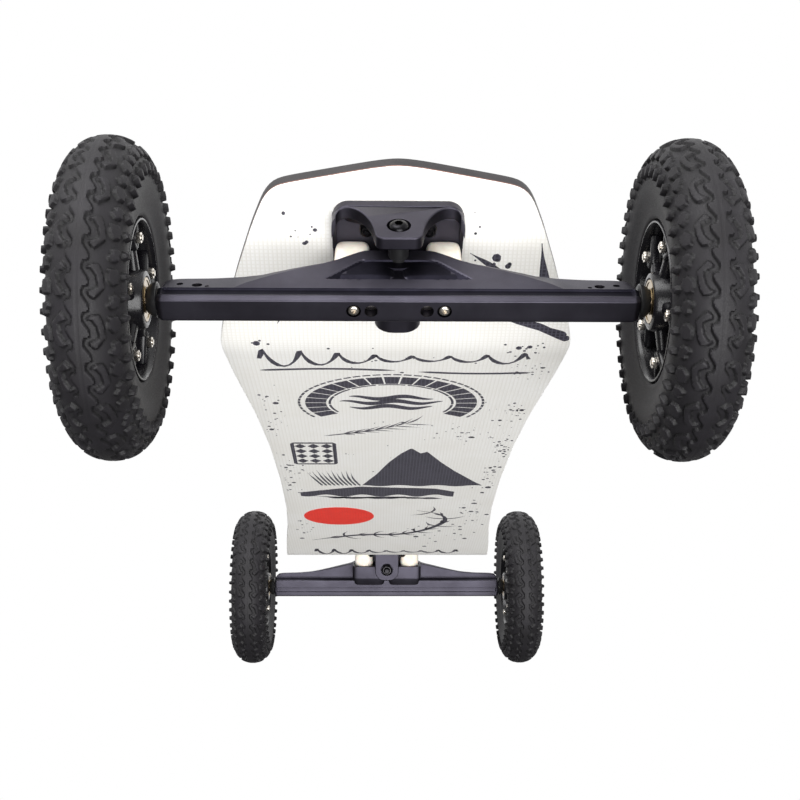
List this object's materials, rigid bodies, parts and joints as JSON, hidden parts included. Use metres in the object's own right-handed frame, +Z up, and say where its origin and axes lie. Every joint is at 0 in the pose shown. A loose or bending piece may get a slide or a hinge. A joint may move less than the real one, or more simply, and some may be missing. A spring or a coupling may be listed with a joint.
{
  "type": "all-terrain board",
  "caption": "Rider-powered all-terrain board: upturned deck on two tilting sprung trucks with pneumatic knobbly wheels, unpowered.",
  "frame": {"origin": "on the ground, under the middle of the board", "axes": "+X towards the nose, +Y towards the left side of a rider facing the nose, +Z up"},
  "size_m": [1.1328, 0.416, 0.2029],
  "materials": {
    "deck": "laminated wood with a white printed film underneath and black sealed edges",
    "grip_tape": "black grit grip tape",
    "anodised_aluminium": "machined, bead blasted and anodised black, satin",
    "steel": "zinc plated",
    "black_steel": "black oxide",
    "shock_block": "cast ivory urethane, satin",
    "bush": "black acetal",
    "tyre": "black moulded rubber with block tread",
    "rim": "gloss black moulded nylon",
    "bearing": "polished bearing ring"
  },
  "bodies": {
    "board": {"deck": "deck", "grip_tape": "grip_tape", "front_base_plate": "anodised_aluminium", "front_kingpin_bolt": "black_steel", "front_kingpin_nut": "steel", "front_pivot_bush_outer": "bush", "front_pivot_bush_inner": "bush", "front_shock_block_left": "shock_block", "front_shock_block_right": "shock_block", "front_truck_bolt_inner_left": "black_steel", "front_truck_bolt_inner_right": "black_steel", "front_truck_bolt_outer_left": "black_steel", "front_truck_bolt_outer_right": "black_steel", "rear_base_plate": "anodised_aluminium", "rear_kingpin_bolt": "black_steel", "rear_kingpin_nut": "steel", "rear_pivot_bush_outer": "bush", "rear_pivot_bush_inner": "bush", "rear_shock_block_left": "shock_block", "rear_shock_block_right": "shock_block", "rear_truck_bolt_inner_left": "black_steel", "rear_truck_bolt_inner_right": "black_steel", "rear_truck_bolt_outer_left": "black_steel", "rear_truck_bolt_outer_right": "black_steel"},
    "front_hanger_arm": {"front_hanger": "anodised_aluminium", "front_axle": "steel", "front_axle_screw_left": "steel", "front_left_axle_spacer": "bush", "front_left_axle_nut": "steel", "front_axle_screw_right": "steel", "front_right_axle_spacer": "bush", "front_right_axle_nut": "steel"},
    "front_left_wheel": {"front_left_tyre": "tyre", "front_left_rim_inner": "rim", "front_left_rim_outer": "rim", "front_left_bearing_inner": "bearing", "front_left_bearing_outer": "bearing"},
    "front_right_wheel": {"front_right_tyre": "tyre", "front_right_rim_inner": "rim", "front_right_rim_outer": "rim", "front_right_bearing_inner": "bearing", "front_right_bearing_outer": "bearing"},
    "rear_hanger_arm": {"rear_hanger": "anodised_aluminium", "rear_axle": "steel", "rear_axle_screw_left": "steel", "rear_left_axle_spacer": "bush", "rear_left_axle_nut": "steel", "rear_axle_screw_right": "steel", "rear_right_axle_spacer": "bush", "rear_right_axle_nut": "steel"},
    "rear_left_wheel": {"rear_left_tyre": "tyre", "rear_left_rim_inner": "rim", "rear_left_rim_outer": "rim", "rear_left_bearing_inner": "bearing", "rear_left_bearing_outer": "bearing"},
    "rear_right_wheel": {"rear_right_tyre": "tyre", "rear_right_rim_inner": "rim", "rear_right_rim_outer": "rim", "rear_right_bearing_inner": "bearing", "rear_right_bearing_outer": "bearing"}
  },
  "joints": [
    {"name": "front_tilt", "type": "hinge", "parent": "board", "child": "front_hanger_arm", "pos_m": [0.44635, 0, 0.13317], "axis": [0.866, 0, 0.5], "range_deg": [-15, 15], "stiffness_Nm_per_rad": 60, "deforming": ["front_shock_block_left", "front_shock_block_right"]},
    {"name": "front_left_spin", "type": "hinge", "parent": "front_hanger_arm", "child": "front_left_wheel", "pos_m": [0.465, 0.177, 0.10086], "axis": [0, 1, 0], "continuous": true},
    {"name": "front_right_spin", "type": "hinge", "parent": "front_hanger_arm", "child": "front_right_wheel", "pos_m": [0.465, -0.177, 0.10086], "axis": [0, 1, 0], "continuous": true},
    {"name": "rear_tilt", "type": "hinge", "parent": "board", "child": "rear_hanger_arm", "pos_m": [-0.44635, 0, 0.13317], "axis": [-0.866, 0, 0.5], "range_deg": [-15, 15], "stiffness_Nm_per_rad": 60, "deforming": ["rear_shock_block_left", "rear_shock_block_right"]},
    {"name": "rear_left_spin", "type": "hinge", "parent": "rear_hanger_arm", "child": "rear_left_wheel", "pos_m": [-0.465, 0.177, 0.10086], "axis": [0, 1, 0], "continuous": true},
    {"name": "rear_right_spin", "type": "hinge", "parent": "rear_hanger_arm", "child": "rear_right_wheel", "pos_m": [-0.465, -0.177, 0.10086], "axis": [0, 1, 0], "continuous": true}
  ]
}
